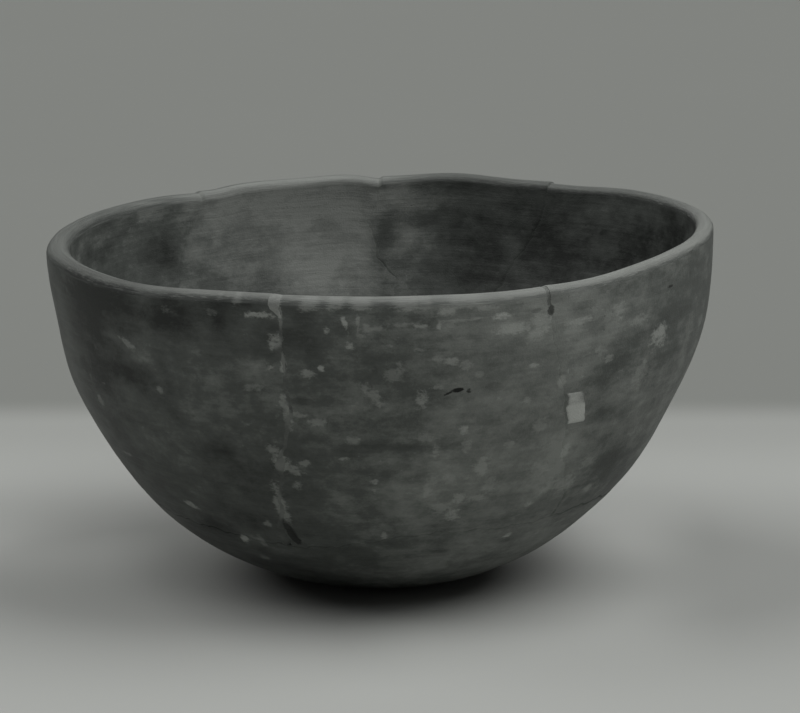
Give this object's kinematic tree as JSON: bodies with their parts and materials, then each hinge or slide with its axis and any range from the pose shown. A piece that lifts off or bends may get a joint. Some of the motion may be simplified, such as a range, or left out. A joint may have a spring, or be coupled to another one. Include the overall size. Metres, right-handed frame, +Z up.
{
  "type": "pottery bowl",
  "caption": "Open round-bottomed bowl of dark burnished pottery, broken and mended, with an uneven rounded lip and a small flat to rest on.",
  "frame": {"origin": "middle of the small flat that the bowl rests on", "axes": "+Z up through the mouth; -Y towards the front, which has the pale mended join; +X to the right of it"},
  "size_m": [0.1499, 0.15, 0.0816],
  "materials": {
    "burnished_clay": "burnished, half matt",
    "pale_filler": "matt",
    "toned_filler": "matt",
    "plaster": "matt"
  },
  "bodies": {
    "root": {"base_sherd": "burnished_clay", "wall_sherd_front_left": "burnished_clay", "wall_sherd_front": "burnished_clay", "wall_sherd_right": "burnished_clay", "wall_sherd_back_right": "burnished_clay", "wall_sherd_back_left": "burnished_clay", "mend_front_left": "pale_filler", "mend_front_right": "toned_filler", "mend_back_right": "toned_filler", "mend_back": "toned_filler", "mend_back_left": "toned_filler", "mend_base_ring": "toned_filler", "lip_wedge_plaster": "plaster", "spall_patch_plaster": "plaster"}
  },
  "joints": []
}
